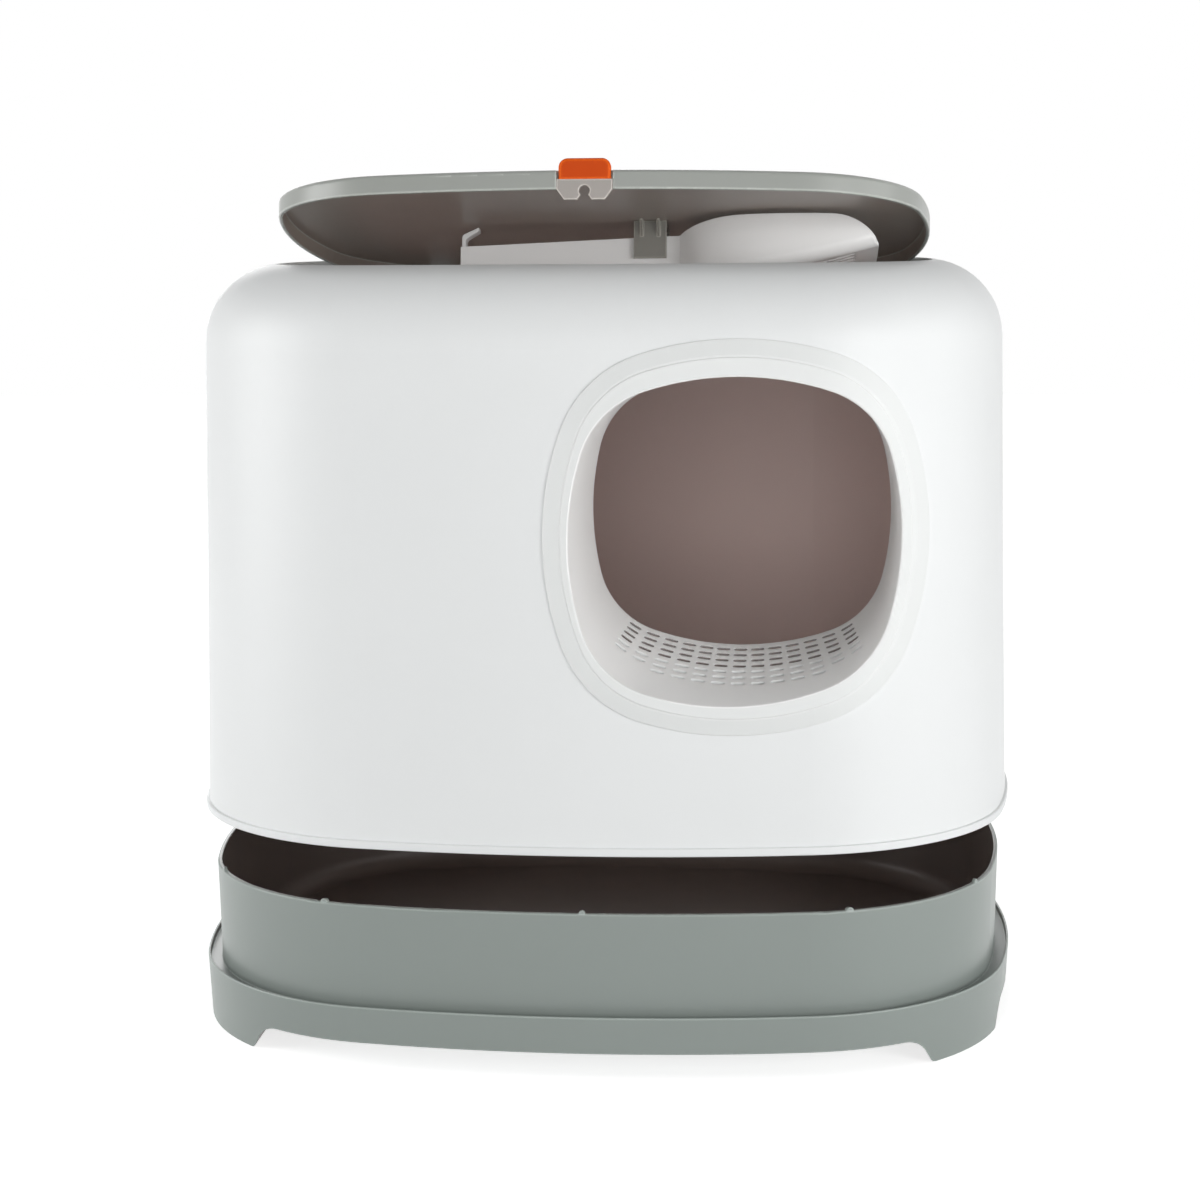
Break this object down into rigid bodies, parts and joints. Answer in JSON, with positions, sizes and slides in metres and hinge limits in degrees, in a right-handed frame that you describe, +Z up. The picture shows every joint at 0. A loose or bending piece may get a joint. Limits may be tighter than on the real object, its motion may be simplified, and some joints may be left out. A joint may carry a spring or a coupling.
{
  "type": "covered litter box",
  "caption": "Covered cat litter box: bowed tray with corner feet, lift-off hood with a side entrance tunnel, hinged top lid and a slotted scoop stowed under it.",
  "frame": {"origin": "on the floor under the middle of the tray's footprint", "axes": "+Z up, -Y to the front with the entrance, +X to the right as seen from the front"},
  "size_m": [0.54, 0.4498, 0.5514],
  "materials": {
    "tray_grey": "satin moulded grey",
    "hood_white": "satin moulded white",
    "tunnel_white": "satin moulded white",
    "lid_grey": "semi-gloss moulded grey",
    "pin_white": "plain moulded white",
    "catch_grey": "satin moulded grey",
    "tab_orange": "satin moulded orange",
    "clip_grey": "satin moulded grey",
    "scoop_white": "satin moulded white"
  },
  "bodies": {
    "hood": {"hood_shell": "hood_white", "entrance_tunnel": "tunnel_white", "hinge_pin_left": "pin_white", "hinge_pin_right": "pin_white"},
    "tray": {"base_tray": "tray_grey"},
    "lid": {"lid": "lid_grey", "catch_plate": "catch_grey", "pull_tab": "tab_orange", "scoop_clip": "clip_grey"},
    "scoop": {"scoop": "scoop_white"}
  },
  "joints": [
    {"name": "hood_lift", "type": "slide", "parent": "hood", "child": "tray", "axis": [0, 0, -1], "range_m": [-0.103, 0.1]},
    {"name": "lid_hinge", "type": "hinge", "parent": "hood", "child": "lid", "pos_m": [0, 0.15, 0.4795], "axis": [-1, 0, 0], "range_deg": [-10.7, 82]},
    {"name": "scoop_pull", "type": "slide", "parent": "lid", "child": "scoop", "axis": [0, -0.1857, -0.9826], "range_m": [0, 0.08]}
  ]
}
